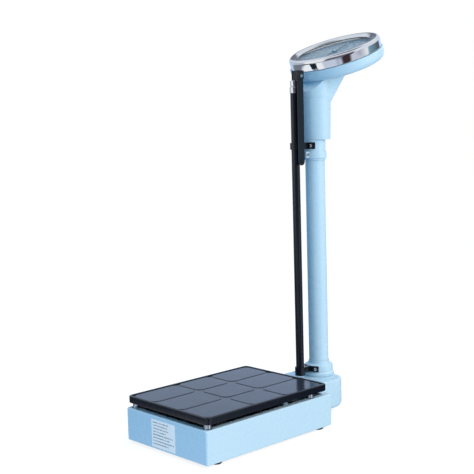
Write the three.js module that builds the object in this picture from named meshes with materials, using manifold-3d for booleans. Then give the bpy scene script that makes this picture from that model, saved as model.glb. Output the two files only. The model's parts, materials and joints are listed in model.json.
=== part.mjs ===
// Mechanical dial height-and-weight scale, in millimetres, +Z up.
// The row's origin is the middle of the footprint, on the floor. The person who is weighed steps on from
// the -Y side and faces +Y, toward the column, the height rod and the dial.
import * as THREE from "three";
import { mergeVertices } from "three/addons/utils/BufferGeometryUtils.js";
import Module from "manifold-3d";

const wasm = await Module();
wasm.setup();

// ---------------------------------------------------------------- driving dimensions
// Y values are measured from the platform's front edge; ORIGIN_Y moves the finished group to the origin.
const ORIGIN_Y = 348.3;
const GAP = 0.3;                 // clearance between pieces that touch
const SHEET = 1.5;               // sheet-metal wall
const PRESS = 2;                 // pressed steel plate

const PLATFORM = { width: 275, depth: 375, top: 108, rim: 16, corner: 12, bevel: 2.5, lip: 7, recess: 3.6 };
const BASE = { halfWidth: 137.4, front: -3, back: 389, bottom: 6, top: 80.7, corner: 5, lip: 16 };
const SEAT = { halfWidth: 71, back: 527, corner: 42, bottom: 12, top: 85, wall: 4, rib: 28 };
const COLUMN = { y: 498, radius: 24.2, bore: 24.5, wall: 1.6, top: 679 };
const COLLAR = { bottom: 623, ringBottom: 627, ringTop: 645, radius: 28.6, skirtRadius: 26.6, top: 672 };
const SLEEVE = { y: 506, bottom: 672.5, seam: 774.5, top: 880, radiusBottom: 33.8, radiusTop: 36.4, wall: 3 };
const HEAD = { y: 582.9, z: 876.9, tiltDeg: 20.3, radius: 118.6, depth: 28.9, wall: 3 };
const BEZEL = { radius: 115.4, height: 27, lipRadius: 92, sheet: 2.2 };
const ROD = { y: 429, outer: 9.9, middle: 8.2, inner: 6.4, wall: 1.2, bottom: 96.5, top: 785 };
const ARM = { x: 17, thickness: 2.4, width: 20, y: 430.5, pivotZ: 825, bottomZ: 612.2, rivetZ: 623 };

// The two weighing levers have the same short arm, so the platform's travel tilts both by the same angle.
const LEVER = {
  shortArm: 60, fulcrumFront: 15, fulcrumRear: 360, longZ: 58, shortZ: 28, shaft: 4, thickness: 12,
};
const LOAD_FRONT = LEVER.fulcrumFront + LEVER.shortArm;
const LOAD_REAR = LEVER.fulcrumRear - LEVER.shortArm;
const NOSE_Y = (LEVER.fulcrumFront + LEVER.fulcrumRear) / 2;

const SIDES = { small: 12, bar: 16, ring: 32, dial: 56 };

// ---------------------------------------------------------------- finishes
const finish = (color, roughness, metalness, opacity = 1) =>
  new THREE.MeshStandardMaterial({ color, roughness, metalness, opacity, transparent: opacity < 1 });
const BLUE = finish("#a9d4ee", 0.45, 0.0);
const BLACK = finish("#16202a", 0.3, 0.0);
const MAT = finish("#20262d", 0.25, 0.0);
const CHROME = finish("#e4e8ec", 0.08, 1.0);
const STEEL = finish("#a7abb0", 0.4, 1.0);
const BRASS = finish("#c8a14e", 0.35, 1.0);
const RUBBER = finish("#14171a", 0.8, 0.0);
const PAPER = finish("#dfe6ee", 0.6, 0.0);
const DIAL = finish("#eef1f4", 0.6, 0.0);
const GLASS = finish("#dfe9f2", 0.05, 0.0, 0.35);
const CAST = finish("#5b646d", 0.7, 0.3);

// ---------------------------------------------------------------- solids
// Weld a geometry's corners, drop triangles with no area and turn its faces outward.
function weld(geometry) {
  const bare = geometry.clone();
  bare.deleteAttribute("normal");
  bare.deleteAttribute("uv");
  const merged = mergeVertices(bare, 1e-4);
  const points = merged.getAttribute("position");
  const index = merged.getIndex().array;
  const [a, b, c] = [new THREE.Vector3(), new THREE.Vector3(), new THREE.Vector3()];
  const kept = [];
  let volume = 0;
  for (let i = 0; i < index.length; i += 3) {
    const [p, q, r] = [index[i], index[i + 1], index[i + 2]];
    if (p === q || q === r || r === p) continue;
    kept.push([p, q, r]);
    a.fromBufferAttribute(points, p);
    b.fromBufferAttribute(points, q);
    c.fromBufferAttribute(points, r);
    volume += a.dot(b.cross(c));
  }
  merged.setIndex(kept.flatMap(([p, q, r]) => (volume > 0 ? [p, q, r] : [p, r, q])));
  return merged;
}

function toSolid(geometry) {
  const welded = weld(geometry);
  return new wasm.Manifold(new wasm.Mesh({
    numProp: 3,
    vertProperties: new Float32Array(welded.getAttribute("position").array),
    triVerts: new Uint32Array(welded.getIndex().array),
  }));
}

function toGeometry(solid) {
  const mesh = solid.getMesh();
  const geometry = new THREE.BufferGeometry();
  geometry.setAttribute("position", new THREE.BufferAttribute(new Float32Array(mesh.vertProperties), 3));
  geometry.setIndex(new THREE.BufferAttribute(new Uint32Array(mesh.triVerts), 1));
  return geometry;
}

const join = (first, ...others) => toGeometry(others.reduce((s, g) => s.add(toSolid(g)), toSolid(first)));
const cut = (first, ...tools) => toGeometry(tools.reduce((s, g) => s.subtract(toSolid(g)), toSolid(first)));
const common = (first, second) => toGeometry(toSolid(first).intersect(toSolid(second)));

// Closed solid through rings of equal length, capped at both ends by fans about their centres.
function loft(rings) {
  const count = rings[0].length;
  const positions = [];
  const index = [];
  rings.forEach((ring) => ring.forEach((p) => positions.push(p.x, p.y, p.z)));
  for (let level = 0; level < rings.length - 1; level++) {
    for (let i = 0; i < count; i++) {
      const next = (i + 1) % count;
      const low = level * count;
      const high = low + count;
      index.push(low + i, low + next, high + next, low + i, high + next, high + i);
    }
  }
  const cap = (ring, start, flip) => {
    const centre = ring.reduce((sum, p) => sum.add(p), new THREE.Vector3()).divideScalar(count);
    const hub = positions.length / 3;
    positions.push(centre.x, centre.y, centre.z);
    for (let i = 0; i < count; i++) {
      const next = (i + 1) % count;
      index.push(hub, start + (flip ? next : i), start + (flip ? i : next));
    }
  };
  cap(rings[0], 0, true);
  cap(rings[rings.length - 1], (rings.length - 1) * count, false);
  const geometry = new THREE.BufferGeometry();
  geometry.setAttribute("position", new THREE.Float32BufferAttribute(positions, 3));
  geometry.setIndex(index);
  return weld(geometry);
}

// Points of an arc about (cx, cy), from one angle to another in degrees.
const arc = (cx, cy, radius, from, to, steps) => Array.from({ length: steps + 1 }, (_, i) => {
  const angle = THREE.MathUtils.degToRad(from + ((to - from) * i) / steps);
  return [cx + radius * Math.cos(angle), cy + radius * Math.sin(angle)];
});

const circle = (radius, cx = 0, cy = 0, sides = SIDES.bar) =>
  arc(cx, cy, radius, 0, 360 - 360 / sides, sides - 1);

// Plan outline of a rounded rectangle from (x0, y0) to (x1, y1).
function roundedOutline(x0, y0, x1, y1, radius, steps = 4) {
  const r = Math.max(radius, 0.01);
  return [...arc(x1 - r, y0 + r, r, -90, 0, steps), ...arc(x1 - r, y1 - r, r, 0, 90, steps),
    ...arc(x0 + r, y1 - r, r, 90, 180, steps), ...arc(x0 + r, y0 + r, r, 180, 270, steps)];
}

// Rounded box built in levels: each level is [z, inset].
function levelledBox(x0, y0, x1, y1, radius, levels, steps = 4) {
  return loft(levels.map(([z, inset]) =>
    roundedOutline(x0 + inset, y0 + inset, x1 - inset, y1 - inset, radius - inset, steps)
      .map(([x, y]) => new THREE.Vector3(x, y, z))));
}

function box(x0, y0, z0, x1, y1, z1) {
  const geometry = new THREE.BoxGeometry(x1 - x0, y1 - y0, z1 - z0);
  return geometry.translate((x0 + x1) / 2, (y0 + y1) / 2, (z0 + z1) / 2);
}

// Solid of revolution about +Z from an axis-to-axis or closed profile of [radius, z] points.
function turned(profile, sides = SIDES.ring) {
  const points = profile.map(([r, z]) => new THREE.Vector2(r, z));
  return new THREE.LatheGeometry(points, sides).rotateX(Math.PI / 2);
}

const disc = (radius, z0, z1, sides = SIDES.bar) =>
  turned([[0, z0], [radius, z0], [radius, z1], [0, z1]], sides);
const ring = (inner, outer, z0, z1, sides = SIDES.ring) =>
  turned([[inner, z0], [outer, z0], [outer, z1], [inner, z1], [inner, z0]], sides);

// Round bar along X, centred on (y, z).
const crossBar = (radius, x0, x1, y = 0, z = 0, sides = SIDES.bar) =>
  disc(radius, x0, x1, sides).rotateY(Math.PI / 2).translate(0, y, z);

// Flat plate: an outline in plan, extruded upward, with optional holes.
function plate(outline, z0, z1, holes = []) {
  const toPoints = (points) => points.map(([x, y]) => new THREE.Vector2(x, y));
  const shape = new THREE.Shape(toPoints(outline));
  holes.forEach((hole) => shape.holes.push(new THREE.Path(toPoints(hole))));
  return new THREE.ExtrudeGeometry(shape, { depth: z1 - z0, bevelEnabled: false }).translate(0, 0, z0);
}

// Stand a plate up: its outline becomes (y, z) and its thickness runs along X.
const STAND_UP = new THREE.Matrix4().set(0, 0, 1, 0, 1, 0, 0, 0, 0, 1, 0, 0, 0, 0, 0, 1);
const upright = (outline, x0, x1, holes = []) => plate(outline, x0, x1, holes).applyMatrix4(STAND_UP);

function piece(parent, name, geometry, material) {
  const mesh = new THREE.Mesh(weld(geometry), material);
  mesh.name = name;
  parent.add(mesh);
  return mesh;
}

const SIDE_SIGNS = { left: -1, right: 1 };
const CORNERS = {
  front_left: [-1, "front"], front_right: [1, "front"], rear_left: [-1, "rear"], rear_right: [1, "rear"],
};

// ---------------------------------------------------------------- base
const FOOT = { radius: 13, height: 5.9, x: 120, front: 37, rear: 358 };
const POST = { radius: 8, x: 122, front: 14, rear: 330, clearance: 2.5 };
const TUNNEL = { halfWidth: 22, bottom: 22, top: 70 };
const LABEL = { x0: -46, x1: 35, z0: 10.5, z1: 72.8, thickness: 0.4 };
const FLOOR_TOP = BASE.bottom + GAP + PRESS;

function addBase(parent) {
  const { halfWidth, front, back, bottom, top, corner, lip } = BASE;
  const shell = (levels, steps) => levelledBox(-halfWidth, front, halfWidth, back, corner, levels, steps);
  const outer = shell([[bottom, 1.5], [bottom + 1.5, 0], [top - 2, 0], [top, 2]]);
  const inner = shell([[bottom - 1, SHEET], [top - SHEET, SHEET]], 2);
  const mouth = box(-halfWidth + lip, front + lip, top - 5, halfWidth - lip, back - lip, top + 5);
  const window = box(-TUNNEL.halfWidth, back - 5, TUNNEL.bottom, TUNNEL.halfWidth, back + 5, TUNNEL.top);
  const postHoles = Object.values(CORNERS).map(([side, end]) =>
    disc(POST.radius + POST.clearance, top - 5, top + 5).translate(side * POST.x, POST[end], 0));
  piece(parent, "base_housing", cut(outer, inner, mouth, window, ...postHoles), BLUE);

  const floorLevels = [[bottom + GAP, SHEET + GAP], [FLOOR_TOP, SHEET + GAP]];
  piece(parent, "base_floor_plate", shell(floorLevels, 2), BLACK);
  const { radius, height } = FOOT;
  const footProfile = [[0, 0], [radius - 2, 0], [radius - 0.5, 1.5], [radius, height], [0, height]];
  for (const [corner_, [side, end]] of Object.entries(CORNERS)) {
    const foot = piece(parent, `foot_${corner_}`, turned(footProfile, 20), RUBBER);
    foot.position.set(side * FOOT.x, FOOT[end], 0);
  }
  const { x0, x1, z0, z1, thickness } = LABEL;
  const labelBack = front - GAP;
  piece(parent, "rating_label", box(x0, labelBack - thickness, z0, x1, labelBack, z1), PAPER);
}

// ---------------------------------------------------------------- platform
const PADS = {
  lineX: 46, lineY: [137, 240], margin: 8, gap: 4, corner: 16, edge: 1.4, sheet: 0.6, height: 1.2,
};
const TRAY_FLOOR = PLATFORM.top - PLATFORM.recess;
// Inner frame under the platform: rails, cross members and the blocks that sit on the load shafts.
const FRAME = {
  top: 77, thickness: 6, railInner: 114, railOuter: 130, front: 6, rear: 342, bearingX: 93, memberHalf: 10,
};

// A pressed tray with a raised lip; the mat lies inside it, its nine pads a little lower than the lip.
function addPlatform(parent) {
  const { width, depth, top, rim, corner, bevel, lip } = PLATFORM;
  const half = width / 2;
  const bottom = top - rim;
  const shell = (levels, steps) => levelledBox(-half, 0, half, depth, corner, levels, steps);
  const outer = shell([[bottom, 0], [top - 2, 0], [top - 0.6, 0.8], [top, bevel]]);
  const inner = shell([[bottom - 1, PRESS], [TRAY_FLOOR - PRESS, PRESS]], 3);
  const recess = shell([[TRAY_FLOOR, lip], [top - 0.6, lip], [top, lip - 0.8], [top + 1, lip - 0.8]]);
  piece(parent, "platform_cover", cut(outer, inner, recess), BLACK);

  const sheetTop = TRAY_FLOOR + GAP + PADS.sheet;
  const matTop = sheetTop + PADS.height;
  const sheet = shell([[TRAY_FLOOR + GAP, lip + GAP], [sheetTop, lip + GAP]]);
  const xs = [-half + PADS.margin, -PADS.lineX, PADS.lineX, half - PADS.margin];
  const ys = [PADS.margin, ...PADS.lineY, depth - PADS.margin];
  // Gaps lie between pads only; at the mat's border a pad reaches the margin.
  const clear = (i) => (i === 0 || i === 3 ? 0 : PADS.gap / 2);
  const padLevels = [[sheetTop - 0.3, 0], [sheetTop + 0.3, 0.1], [matTop, PADS.edge]];
  const pads = [0, 1, 2].flatMap((i) => [0, 1, 2].map((j) => levelledBox(xs[i] + clear(i), ys[j] + clear(j),
    xs[i + 1] - clear(i + 1), ys[j + 1] - clear(j + 1), PADS.corner, padLevels, 4)));
  piece(parent, "platform_mat", join(sheet, ...pads), MAT);

  for (const [corner_, [side, end]] of Object.entries(CORNERS)) {
    const body = disc(POST.radius, FRAME.top + GAP, TRAY_FLOOR - PRESS - GAP, 20);
    piece(parent, `platform_post_${corner_}`, body, CHROME).position.set(side * POST.x, POST[end], 0);
  }
  addPlatformFrame(parent);
}

function addPlatformFrame(parent) {
  const { top, thickness, railInner, railOuter, front, rear, bearingX, memberHalf } = FRAME;
  const low = top - thickness;
  const rails = Object.values(SIDE_SIGNS).map((side) => {
    const middle = (side * (railInner + railOuter)) / 2;
    const halfRail = (railOuter - railInner) / 2;
    return box(middle - halfRail, front, low, middle + halfRail, rear, top);
  });
  const members = [];
  const blocks = [];
  for (const [y, shaftZ] of [[LOAD_FRONT, LEVER.longZ], [LOAD_REAR, LEVER.shortZ]]) {
    members.push(box(-railOuter + 1, y - memberHalf, low, railOuter - 1, y + memberHalf, top));
    for (const x of [-bearingX, bearingX]) {
      const reach = LEVER.shaft + 1;
      const block = box(x - 5, y - 9, shaftZ - 6, x + 5, y + 9, low + 1);
      const slot = box(x - 6, y - reach, shaftZ - 7, x + 6, y + reach, shaftZ + LEVER.shaft + 0.5);
      blocks.push(cut(block, slot));
    }
  }
  piece(parent, "platform_frame", join(...rails, ...members, ...blocks), STEEL);
}

// ---------------------------------------------------------------- levers
const LEVER_ARM = { spread: 78, half: 7, bore: 0.25 };
const LINK = { halfWidth: 12, bar: 3.8, half: 3 };

// A-shaped lever: two arms run from the wide fulcrum end to the narrow spine, with a cross tie between them.
function leverBody(yWide, yMeet, z, spineY, tieY) {
  const { spread, half } = LEVER_ARM;
  const [low, high] = [z - LEVER.thickness / 2, z + LEVER.thickness / 2];
  const armOutline = (wideX) =>
    [[wideX - half, yWide], [wideX + half, yWide], [half, yMeet], [-half, yMeet]];
  const arms = Object.values(SIDE_SIGNS).map((side) => plate(armOutline(side * spread), low, high));
  const spine = box(-half, Math.min(...spineY), low, half, Math.max(...spineY), high);
  const reach = spread - Math.abs(tieY - yWide) * (spread / Math.abs(yMeet - yWide));
  const tie = box(-reach, tieY - 6, low + 2, reach, tieY + 6, high - 2);
  return join(spine, ...arms, tie);
}

function addLevers(parent) {
  const { fulcrumFront, fulcrumRear, longZ, shortZ, shaft, thickness } = LEVER;
  const bores = (z, ...ys) => ys.map((y) => crossBar(shaft + LEVER_ARM.bore, -110, 110, y, z));
  const reach = LEVER_ARM.half + 1;

  const longBody = leverBody(fulcrumFront - 10, 176, longZ, [166, COLUMN.y + 14], 92);
  const rodHole = disc(5, longZ - 20, longZ + 20).translate(0, COLUMN.y, 0);
  const saddle = box(-reach, NOSE_Y - 4, longZ + thickness / 2 - 4.5, reach, NOSE_Y + 4, longZ + thickness);
  const longBores = bores(longZ, fulcrumFront, LOAD_FRONT);
  piece(parent, "long_lever", cut(longBody, ...longBores, rodHole, saddle), CAST);

  const shortBody = leverBody(fulcrumRear + 10, 206, shortZ, [NOSE_Y - 11, 214], 328);
  const groove = box(-reach, NOSE_Y - 7, shortZ - thickness, reach, NOSE_Y + 7, shortZ - thickness / 2 + 3);
  piece(parent, "short_lever", cut(shortBody, ...bores(shortZ, fulcrumRear, LOAD_REAR), groove), CAST);

  const shafts = {
    long_fulcrum_shaft: [fulcrumFront, longZ],
    long_load_shaft: [LOAD_FRONT, longZ],
    short_fulcrum_shaft: [fulcrumRear, shortZ],
    short_load_shaft: [LOAD_REAR, shortZ],
  };
  const shaftEnd = FRAME.bearingX + 7;
  for (const [name, [y, z]] of Object.entries(shafts)) {
    piece(parent, name, crossBar(shaft, -shaftEnd, shaftEnd, y, z), STEEL);
  }
  // The link is a closed loop: its top bar lies in the long lever's saddle, its bottom bar under the nose.
  const linkTop = longZ + thickness / 2;
  const linkBottom = shortZ - thickness / 2 - 1.4;
  const { halfWidth, bar, half } = LINK;
  const eye = halfWidth - bar;
  const loop = cut(box(-halfWidth, NOSE_Y - half, linkBottom, halfWidth, NOSE_Y + half, linkTop),
    box(-eye, NOSE_Y - half - 1, linkBottom + bar, eye, NOSE_Y + half + 1, linkTop - bar));
  piece(parent, "lever_link", loop, STEEL);
  addFulcrumRail(parent, "front_fulcrum_rail", fulcrumFront, longZ);
  addFulcrumRail(parent, "rear_fulcrum_rail", fulcrumRear, shortZ);
}

// A rail lies on the floor plate and carries one fulcrum shaft on two notched uprights.
function addFulcrumRail(parent, name, y, z) {
  const bottom = FLOOR_TOP + GAP;
  const { bearingX } = FRAME;
  const foot = box(-bearingX - 5, y - 10, bottom, bearingX + 5, y + 10, bottom + 3);
  const uprights = [-bearingX, bearingX].map((x) => cut(box(x - 5, y - 10, bottom + 1, x + 5, y + 10, z + 5),
    box(x - 6, y - LEVER.shaft - 0.6, z - LEVER.shaft - 0.4, x + 6, y + LEVER.shaft + 0.6, z + 6)));
  piece(parent, name, join(foot, ...uprights), CAST);
}

// ---------------------------------------------------------------- column
function addColumn(parent) {
  addSeat(parent);
  const { y, radius, bore, wall, top } = COLUMN;
  const low = SEAT.top + GAP;
  const flange = turned([[bore, low], [37.6, low], [37.6, 92], [36, 94.5], [34.6, 95.5], [34.6, 110.5],
    [33.2, 113], [27.5, 114.5], [26, 116], [26, 121.5], [25.4, 122], [bore, 122], [bore, low]]);
  piece(parent, "column_flange", flange, BLUE).position.y = y;
  piece(parent, "column_tube", ring(radius - wall, radius, low, top), BLUE).position.y = y;

  // Split clamp: a skirt, a pinch ring with two ears toward the height rod, and a slit between the ears.
  const ear = { half: 6.5, reach: 38, low: 629, high: 644, screwY: -33.5, screwZ: 636.5 };
  const clamp = ring(bore, COLLAR.radius, COLLAR.ringBottom, COLLAR.ringTop);
  const skirt = ring(bore, COLLAR.skirtRadius, COLLAR.bottom, COLLAR.top);
  const ears = cut(box(-ear.half, -ear.reach, ear.low, ear.half, -bore + 2, ear.high),
    disc(bore, ear.low - 5, ear.high + 5, SIDES.ring));
  const slit = box(-1, -ear.reach - 5, COLLAR.bottom - 5, 1, -20, COLLAR.ringTop + 1);
  const screwHole = crossBar(2.6, -12, 12, ear.screwY, ear.screwZ, SIDES.small);
  piece(parent, "column_collar", cut(join(clamp, skirt, ears), slit, screwHole), BLUE).position.y = y;
  const pinch = join(crossBar(2.2, -7.5, 8, 0, 0, SIDES.small), crossBar(3.6, 6.9, 9.6, 0, 0, SIDES.small));
  piece(parent, "collar_pinch_screw", pinch, STEEL).position.set(0, y + ear.screwY, ear.screwZ);
}

// The seat block is a ribbed casting bolted behind the base, open below, with a window for the long lever.
function addSeat(parent) {
  const { halfWidth, back, corner, bottom, top, wall, rib } = SEAT;
  const front = BASE.back + GAP;
  const level = (z, inset, start) => {
    const [half, rear, r] = [halfWidth - inset, back - inset, corner - inset];
    const outline = [[-half, start], [half, start],
      ...arc(half - r, rear - r, r, 0, 90, 6), ...arc(r - half, rear - r, r, 90, 180, 6)];
    return outline.map(([x, y]) => new THREE.Vector3(x, y, z));
  };
  const levels = [[bottom, 9], [bottom + 3, 3.5], [bottom + 10, 0], [top - 5, 0], [top - 1.5, 2], [top, 6]];
  const outer = loft(levels.map(([z, inset]) => level(z, inset, front)));
  const inner = loft([[bottom - 1, wall + 6], [bottom + 10, wall], [top - wall, wall]]
    .map(([z, inset]) => level(z, inset, front - 5)));
  const rodHole = disc(18, top - wall - 2, top + 2, 24).translate(0, COLUMN.y, 0);
  const ribs = Object.values(SIDE_SIGNS).map((sign) =>
    common(box(sign * rib - wall / 2, front, bottom + 6, sign * rib + wall / 2, back, top - 1), outer));
  const { halfWidth: windowHalf, bottom: windowLow, top: windowHigh } = TUNNEL;
  const window = box(-windowHalf, front - 1, windowLow, windowHalf, front + wall + 1, windowHigh);
  const face = cut(box(-halfWidth + 1, front, bottom + 3.5, halfWidth - 1, front + wall, top - 3), window);
  piece(parent, "column_seat", join(cut(outer, inner, rodHole), common(face, outer), ...ribs), BLUE);
}

// ---------------------------------------------------------------- head
const TILT = THREE.MathUtils.degToRad(HEAD.tiltDeg);
const HEAD_MATRIX = new THREE.Matrix4().makeRotationX(TILT).setPosition(0, HEAD.y, HEAD.z);
const inHead = (geometry) => geometry.clone().applyMatrix4(HEAD_MATRIX);
const KNOB = { x: -62, y: -25, radius: 9.5, bottom: -44, spindle: 2.6 };
// The neck swells backward into a gusset, from a level low on the tube up to one inside the pan. Its front
// is trimmed by a cone about the dial's axis, so that the tube ends under the pan's edge.
const GUSSET = {
  half: 34, corner: 21, lowZ: 762, lowFront: 488, lowRear: 534, level: -20, front: -80, rear: 33,
};
const TRIM = { radius: 111.5, level: -28.5, slope: 1.75, reach: 90, top: 20 };
// How far sloping and tapering faces move in for each millimetre of wall, to keep the wall even.
const WALL_SHARE = { lowZ: 1.5, rear: 1.4, cone: 1.15 };
const SEAT_RADIUS = HEAD.radius - 6;     // the glass, gasket and dial fit inside the bezel to this radius

// The pan's outside, grown by a clearance, as a lathe about the dial's axis.
function panOutside(grow) {
  const { radius, depth } = HEAD;
  const rim = radius + grow;
  return inHead(turned([[0, -depth - grow], [rim - 11, -depth - grow], [rim - 5, -depth + 2.5 - grow],
    [rim - 1.5, -depth + 8], [rim, -depth + 14], [rim, -2.2], [rim - 1.2, -0.6], [0, -0.6]], SIDES.dial));
}

// Neck tube and gusset together; an inset gives the hollow inside them.
function neckBody(inset) {
  const { y, bottom, seam, top, radiusBottom, radiusTop } = SLEEVE;
  const low = bottom + (inset > 0 ? inset + 0.5 : 0);
  const upper = radiusTop - inset;
  const tube = turned([[0, low], [radiusBottom - inset, low], [upper, seam], [upper, top], [0, top]])
    .translate(0, y, 0);
  const { half, corner, lowZ, lowFront, lowRear, level, front, rear } = GUSSET;
  const ringOf = (y0, y1, place) => roundedOutline(inset - half, y0, half - inset, y1, corner - inset, 6)
    .map(([px, py]) => place(px, py));
  const lowRing = ringOf(lowFront, lowRear - inset, (px, py) =>
    new THREE.Vector3(px, py, lowZ + WALL_SHARE.lowZ * inset));
  const highRing = ringOf(front, rear - WALL_SHARE.rear * inset, (px, py) =>
    new THREE.Vector3(px, py, level + inset).applyMatrix4(HEAD_MATRIX));
  const edge = TRIM.radius - WALL_SHARE.cone * inset;
  const far = edge + 2 * TRIM.slope * TRIM.reach;
  const foot = TRIM.level - TRIM.reach;
  const trim = inHead(turned([[edge, TRIM.top], [edge, TRIM.level], [edge + TRIM.slope * TRIM.reach, foot],
    [far, foot], [far, TRIM.top], [edge, TRIM.top]], SIDES.dial));
  const above = inHead(box(-60, -200, level + inset, 60, 60, 100));
  return cut(join(tube, loft([lowRing, highRing])), trim, above);
}

function addNeck(parent) {
  const { y, bottom, seam, radiusTop, wall } = SLEEVE;
  const tubeHole = disc(COLUMN.bore, bottom - 5, bottom + 10, SIDES.ring).translate(0, COLUMN.y, 0);
  const seamRing = ring(radiusTop - 0.6, radiusTop + 3, seam - 0.6, seam + 0.6).translate(0, y, 0);
  const seamGroove = common(seamRing, box(-50, y - 50, seam - 5, 50, y + 8, seam + 5));
  const neck = cut(neckBody(0), neckBody(wall), tubeHole, seamGroove, panOutside(GAP));
  piece(parent, "neck_sleeve", neck, BLUE);
}

function addHeadHousing(parent) {
  const { radius, depth, wall } = HEAD;
  const lip = inHead(ring(SEAT_RADIUS, radius + 5, -1, 5, SIDES.dial));
  const cavity = inHead(turned([[0, -depth + wall], [radius - 13, -depth + wall], [radius - 8, -depth + 10],
    [radius - 8, 9], [0, 9]], SIDES.dial));
  const spindleHole = inHead(disc(KNOB.spindle + 0.6, -depth - 10, 0).translate(KNOB.x, KNOB.y, 0));
  const neckHole = neckBody(wall);
  piece(parent, "head_housing", cut(panOutside(0), lip, cavity, spindleHole, neckHole), BLUE);
}

function addDial(parent) {
  const head = new THREE.Group();
  head.position.set(0, HEAD.y, HEAD.z);
  head.rotation.x = TILT;
  parent.add(head);
  const { radius, height, lipRadius, sheet } = BEZEL;
  const inside = radius - sheet;
  const bezel = turned([[inside, 0], [radius - 0.4, 0], [radius, 1.5], [radius + 0.6, height - 10],
    [radius - 0.6, height - 5], [radius - 3.6, height - 1.6], [radius - 8, height],
    [radius - 13, height - 0.6], [lipRadius + 2, height - 5], [lipRadius, height - 5.8],
    [lipRadius, height - 6.8], [radius - 2.8, height - 6.8], [inside, height - 7.6], [inside, 0]], SIDES.dial);
  piece(head, "dial_bezel", bezel, CHROME);
  piece(head, "dial_plate", ring(2.6, SEAT_RADIUS - 1, 8.3, 9.5, SIDES.dial), DIAL);
  piece(head, "glass_gasket", ring(SEAT_RADIUS - 8, SEAT_RADIUS - 0.6, 9.8, 16.9, SIDES.dial), RUBBER);
  piece(head, "dial_glass", disc(SEAT_RADIUS - 0.6, 17.2, 19.7, SIDES.dial), GLASS);

  const hand = plate([[-1.8, -26], [1.8, -26], [1.2, 40], [0.5, 88], [-0.5, 88], [-1.2, 40]], 12, 13);
  piece(head, "pointer", join(hand, disc(7, 11.6, 14.6, 20)), BLACK);
  addPinionAndRack(head);
  addMovementFrame(head);

  const knurl = circle(KNOB.radius, 0, 0, 36).map(([x, y], i) => (i % 2 ? [x * 0.93, y * 0.93] : [x, y]));
  const grip = plate(knurl, KNOB.bottom, -HEAD.depth - 1);
  const spindle = disc(KNOB.spindle, KNOB.bottom + 4, -14);
  const knob = piece(head, "zero_knob", join(grip, spindle, disc(8, -22, -19, 20)), BLACK);
  knob.position.set(KNOB.x, KNOB.y, 0);
}

// Deck, legs and a bridge that hold the pinion shaft in two bearings.
function addMovementFrame(head) {
  const deckLevel = [-21.5, -19.5];
  const corners = [[-30, -20], [30, -20], [30, 40], [-30, 40]];
  const bearing = circle(2.2);
  const deck = plate(corners.map(([x, y]) => [x * 1.13, y * 1.13]), ...deckLevel, [bearing]);
  const legFoot = -HEAD.depth + HEAD.wall + GAP;
  const legs = corners.map(([x, y]) => disc(3, legFoot, -20, SIDES.small).translate(x, y, 0));
  const bridge = join(box(-30, 30, deckLevel[0] + 1, -26, 40, 4), box(-30, 30, 2, 4, 40, 4),
    box(-4, -6, 2, 4, 40, 4));
  const frame = cut(join(deck, ...legs, bridge), disc(2.2, 0, 6));
  piece(head, "movement_frame", frame, BRASS);
}

// Rack and pinion with straight-sided teeth, in mesh with a little backlash.
const GEAR = { teeth: 14, module: 0.5, z0: -16.5, z1: -11.5, addendum: 0.4, dedendum: 0.55 };
const PITCH_RADIUS = (GEAR.teeth * GEAR.module) / 2;
const RACK = { tail: -61, tip: 27, back: 8 };

function addPinionAndRack(head) {
  const { teeth, module, z0, z1, addendum, dedendum } = GEAR;
  const toothAngle = (2 * Math.PI) / teeth;
  const flank = [[-0.3, -dedendum], [-0.12, addendum], [0.12, addendum], [0.3, -dedendum]];
  const gear = Array.from({ length: teeth }, (_, i) => flank.map(([share, depth]) => {
    const angle = toothAngle * (i + share);
    const radius = PITCH_RADIUS + 2 * module * depth;
    return [radius * Math.cos(angle), radius * Math.sin(angle)];
  })).flat();
  piece(head, "pinion_shaft", join(plate(gear, z0, z1), disc(1.8, -24, 11.3)), BRASS);

  const pitch = Math.PI * module;
  const root = PITCH_RADIUS + dedendum;
  const tip = PITCH_RADIUS - addendum;
  const firstTooth = -2;
  const lastTooth = Math.floor(RACK.tip / pitch) - 1;
  const edge = [];
  for (let i = lastTooth; i >= firstTooth; i--) {
    const middle = (i + 0.5) * pitch;
    edge.push([root, middle + 0.26 * pitch], [tip, middle + 0.1 * pitch],
      [tip, middle - 0.1 * pitch], [root, middle - 0.26 * pitch]);
  }
  const end = RACK.tail - 3;
  const outline = [[RACK.back, end], [RACK.back, RACK.tip], [root, RACK.tip], ...edge, [root, end]];
  const pin = crossBar(1.5, -9, root + 0.5, RACK.tail, (z0 + z1) / 2, SIDES.small);
  piece(head, "rack", join(plate(outline, z0 + 0.6, z1 - 0.6), pin), BRASS);
}

// ---------------------------------------------------------------- spring balance in the neck
const BALANCE = {
  drawZ: 714, drawHalf: 3, hangerZ: 782, hanger: 5, springX: 19, springRadius: 7, wire: 1.4, turns: 10,
};
// Both arms of the bell crank swing evenly about their middle position as the dial goes round once.
const CRANK = {
  pivotY: -72, pivotZ: -44, arm: 32.7, armEnd: 38.2, rise: 29.8, riseEnd: 35.6, swingDeg: 21.16,
  pinLift: 12.07, x0: -6.6, x1: -4, half: 4, slot: 2.4, slotReach: 4.4, tip: 1.4,
};

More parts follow.
